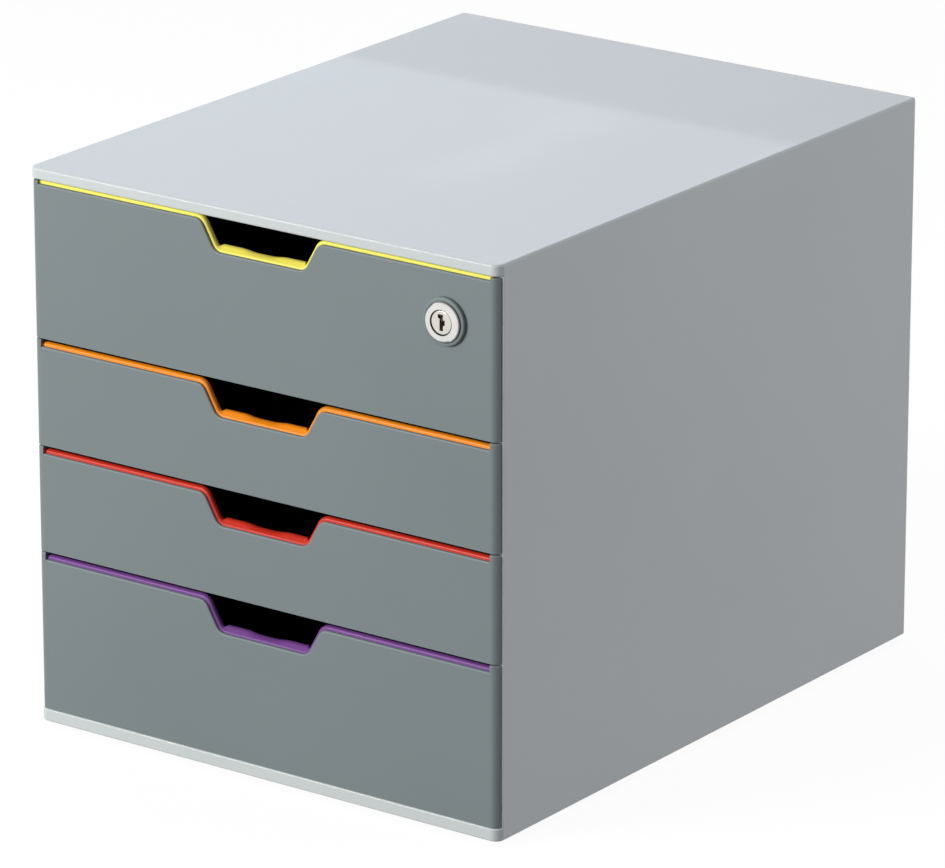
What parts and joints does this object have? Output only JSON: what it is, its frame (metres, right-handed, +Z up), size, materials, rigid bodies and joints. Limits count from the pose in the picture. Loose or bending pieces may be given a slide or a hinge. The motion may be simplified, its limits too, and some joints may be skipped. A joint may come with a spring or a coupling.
{
  "type": "desktop file drawer",
  "caption": "Closed desktop cabinet of pull-out paper drawers with finger notches and coloured edge strips; the top drawer has a turning cam lock.",
  "frame": {"origin": "centre of the overall box on the desk plane under the feet", "axes": "+Z up, -Y out of the drawer fronts, +X to the lock's side (the user's right)"},
  "size_m": [0.28, 0.3594, 0.288],
  "materials": {
    "housing": "fine satin moulded",
    "front_grey": "fine matt moulded",
    "tray_grey": "matt moulded",
    "strip_yellow": "satin",
    "strip_orange": "satin",
    "strip_red": "satin",
    "strip_purple": "satin",
    "chrome": "polished plating",
    "plug_metal": "satin nickel",
    "zinc_steel": "zinc plated",
    "foot_rubber": "matt"
  },
  "bodies": {
    "casing": {"top_cover": "housing", "base_plate": "housing", "side_wall_left": "housing", "side_wall_right": "housing", "back_panel": "housing", "back_screws": "zinc_steel", "base_screws": "zinc_steel", "foot_front_left": "foot_rubber", "foot_front_right": "foot_rubber", "foot_rear_left": "foot_rubber", "foot_rear_right": "foot_rubber", "lock_strike": "zinc_steel", "strike_screws": "zinc_steel"},
    "drawer_1": {"drawer_front_1": "front_grey", "accent_strip_1": "strip_yellow", "drawer_tray_1": "tray_grey", "lock_housing": "chrome", "lock_nut": "zinc_steel"},
    "lock_plug": {"lock_barrel": "plug_metal", "lock_cam": "zinc_steel", "cam_screw": "zinc_steel"},
    "drawer_2": {"drawer_front_2": "front_grey", "accent_strip_2": "strip_orange", "drawer_tray_2": "tray_grey"},
    "drawer_3": {"drawer_front_3": "front_grey", "accent_strip_3": "strip_red", "drawer_tray_3": "tray_grey"},
    "drawer_4": {"drawer_front_4": "front_grey", "accent_strip_4": "strip_purple", "drawer_tray_4": "tray_grey"}
  },
  "joints": [
    {"name": "drawer_1_slide", "type": "slide", "parent": "casing", "child": "drawer_1", "axis": [0, -1, 0], "range_m": [0, 0.285]},
    {"name": "drawer_2_slide", "type": "slide", "parent": "casing", "child": "drawer_2", "axis": [0, -1, 0], "range_m": [0, 0.285]},
    {"name": "drawer_3_slide", "type": "slide", "parent": "casing", "child": "drawer_3", "axis": [0, -1, 0], "range_m": [0, 0.285]},
    {"name": "drawer_4_slide", "type": "slide", "parent": "casing", "child": "drawer_4", "axis": [0, -1, 0], "range_m": [0, 0.285]},
    {"name": "lock_turn", "type": "hinge", "parent": "drawer_1", "child": "lock_plug", "pos_m": [0.1093, -0.17625, 0.256], "axis": [0, 1, 0], "range_deg": [0, 90]}
  ]
}
